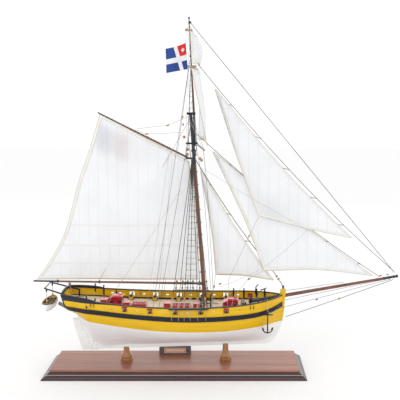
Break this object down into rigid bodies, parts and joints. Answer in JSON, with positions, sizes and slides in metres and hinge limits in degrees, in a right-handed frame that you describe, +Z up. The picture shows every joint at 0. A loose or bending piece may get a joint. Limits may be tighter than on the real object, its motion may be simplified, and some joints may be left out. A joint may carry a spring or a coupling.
{
  "type": "model sailing ship",
  "caption": "Rigged display model of a single-masted armed cutter with cloth sails, on a wooden base with turned pedestals.",
  "frame": {"origin": "centre of the underside of the display base", "axes": "+X towards the bow, +Y to port, +Z up"},
  "size_m": [0.6344, 0.231, 0.6051],
  "materials": {
    "base_veneer": "glossy red-brown veneer",
    "base_edge": "dark stained moulding, satin lacquer",
    "pedestal_wood": "turned honey-brown wood, satin",
    "screw_brass": "plain brass screws",
    "plaque_wood": "dark stained wood",
    "plaque_metal": "brushed blank plate",
    "hull_paint": "satin white below, golden yellow above",
    "yellow_paint": "satin golden yellow paint",
    "black_paint": "satin blue-black paint",
    "plywood": "raw plywood",
    "deck_planks": "pale laid planks, dark caulking",
    "red_paint": "glossy crimson paint",
    "iron": "blackened fittings",
    "gun_metal": "blackened barrels",
    "truck_wood": "black-stained wheels",
    "spar_wood": "red-brown stained spar, black ends",
    "block_wood": "tan blocks and deadeyes",
    "black_rope": "dark laid cord",
    "tan_rope": "natural laid cord",
    "sailcloth": "thin translucent white cotton, sewn seams",
    "flag_cloth": "printed cotton",
    "boat_paint": "white bottom, black gunwale, yellow inside"
  },
  "bodies": {
    "ship": {"base_panel": "base_veneer", "base_moulding": "base_edge", "pedestals": "pedestal_wood", "pedestal_screws": "screw_brass", "name_block": "plaque_wood", "name_plate": "plaque_metal", "backbone": "hull_paint", "hull_frames": "plywood", "planking_port": "hull_paint", "planking_starboard": "hull_paint", "bulwark_port": "yellow_paint", "bulwark_starboard": "yellow_paint", "transom": "yellow_paint", "deck": "deck_planks", "waterways": "black_paint", "wales": "black_paint", "cap_rail": "black_paint", "quarter_rails": "black_paint", "timberheads": "black_paint", "gudgeons": "iron", "aft_companionway": "red_paint", "forward_companionway": "red_paint", "companionway_roofs": "red_paint", "hatches": "red_paint", "gratings": "red_paint", "fife_rail": "black_paint", "windlass_bitts": "black_paint", "gun_barrels": "gun_metal", "gun_carriages": "yellow_paint", "gun_trucks": "truck_wood", "port_lids": "yellow_paint", "channels": "black_paint", "chainplates": "iron", "deadeyes": "block_wood", "anchors": "iron", "anchor_stocks": "spar_wood", "lower_mast": "spar_wood", "topmast": "spar_wood", "crosstrees": "black_paint", "bowsprit": "spar_wood", "boom": "spar_wood", "gaff": "spar_wood", "yards": "spar_wood", "mainsail": "sailcloth", "fore_staysail": "sailcloth", "jib": "sailcloth", "flying_jib": "sailcloth", "square_sails": "sailcloth", "flags": "flag_cloth", "stern_davits": "black_paint", "standing_rigging": "black_rope", "running_rigging": "tan_rope", "rigging_blocks": "block_wood"},
    "rudder_assembly": {"rudder": "hull_paint", "pintles": "iron", "tiller": "spar_wood"},
    "windlass": {"windlass_drum": "spar_wood"},
    "ships_boat": {"boat_hull": "boat_paint", "boat_fittings": "boat_paint", "boat_falls": "tan_rope"}
  },
  "joints": [
    {"name": "rudder_swing", "type": "hinge", "parent": "ship", "child": "rudder_assembly", "pos_m": [-0.1437, 0, 0.034], "axis": [-0.3913, 0, 0.9203], "range_deg": [-30, 30]},
    {"name": "windlass_turn", "type": "hinge", "parent": "ship", "child": "windlass", "pos_m": [0.1175, 0, 0.11934], "axis": [0, 1, 0], "continuous": true},
    {"name": "boat_swing", "type": "hinge", "parent": "ship", "child": "ships_boat", "pos_m": [-0.219, 0, 0.1454], "axis": [0, 1, 0], "range_deg": [-6, 15]}
  ]
}
